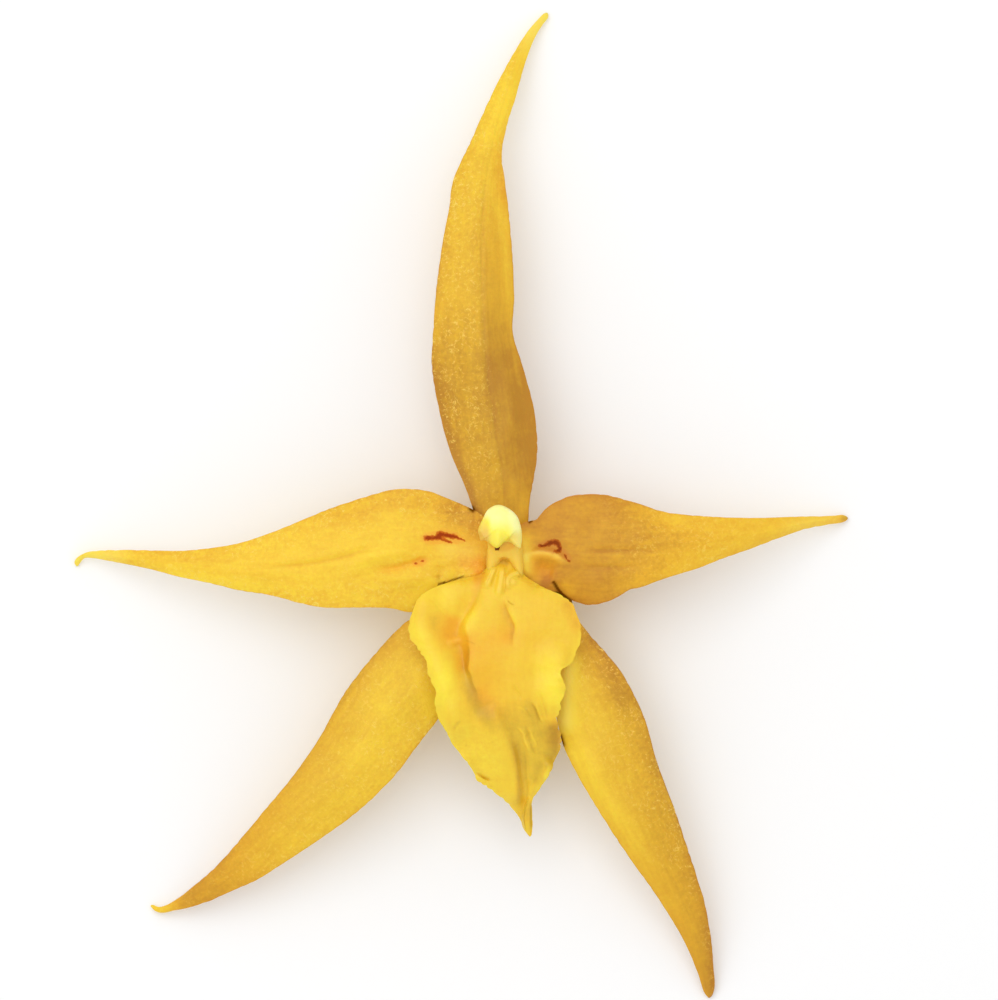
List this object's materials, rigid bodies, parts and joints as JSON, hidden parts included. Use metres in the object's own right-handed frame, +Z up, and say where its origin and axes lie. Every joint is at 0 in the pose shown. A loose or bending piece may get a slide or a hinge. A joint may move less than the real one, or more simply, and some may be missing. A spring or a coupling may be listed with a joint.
{
  "type": "brassia orchid bloom",
  "caption": "Open yellow orchid bloom with long pointed sepals and petals and a waved lip, picked with its short stalk and lying face up.",
  "frame": {"origin": "middle of the bloom's footprint, on the surface that it lies on", "axes": "+Z up out of the bloom's face, +Y along the dorsal sepal, +X to the right as the face is seen"},
  "size_m": [0.118, 0.1502, 0.0233],
  "materials": {
    "sepal": "soft waxy plant tissue, golden yellow with fine pale speckling and faint lengthwise veins",
    "petal": "soft waxy plant tissue, golden yellow with a few red-brown marks near the column",
    "lip": "smooth waxy plant tissue, bright yellow, deeper orange in its folds",
    "column": "smooth fleshy plant tissue, warm yellow",
    "anther_cap": "smooth and slightly glossy, pale cream yellow",
    "pollinarium": "waxy dark red-brown",
    "ovary": "smooth greenish yellow stalk tissue"
  },
  "bodies": {
    "root": {"dorsal_sepal": "sepal", "lateral_sepal_left": "sepal", "lateral_sepal_right": "sepal", "petal_left": "petal", "petal_right": "petal", "lip": "lip", "column": "column", "anther_cap": "anther_cap", "pollinarium": "pollinarium", "ovary_pedicel": "ovary"}
  },
  "joints": []
}
